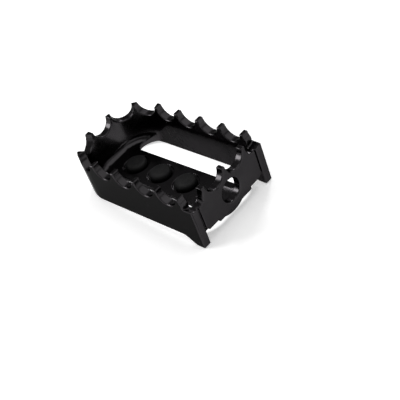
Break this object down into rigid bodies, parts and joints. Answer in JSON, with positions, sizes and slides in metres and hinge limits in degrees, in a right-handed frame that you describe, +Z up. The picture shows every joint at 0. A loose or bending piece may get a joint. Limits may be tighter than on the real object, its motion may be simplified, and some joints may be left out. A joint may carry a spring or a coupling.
{
  "type": "toe peg",
  "caption": "Open tub-shaped metal toe peg with a scalloped, toothed rim, floor windows, push-in rubber studs and a flat end wall with a screw hole between two wings.",
  "frame": {"origin": "under the middle of the peg, at the height of the wings' tips", "axes": "+X along the peg towards the lever, square to the end wall; +Y across the peg; +Z up, out of the open rim"},
  "size_m": [0.0622, 0.0364, 0.0203],
  "materials": {
    "black_coat": "satin black coat",
    "stud_rubber": "matte moulded rubber"
  },
  "bodies": {
    "root": {"peg_body": "black_coat", "tread_stud_1": "stud_rubber", "tread_stud_2": "stud_rubber", "tread_stud_3": "stud_rubber"}
  },
  "joints": []
}
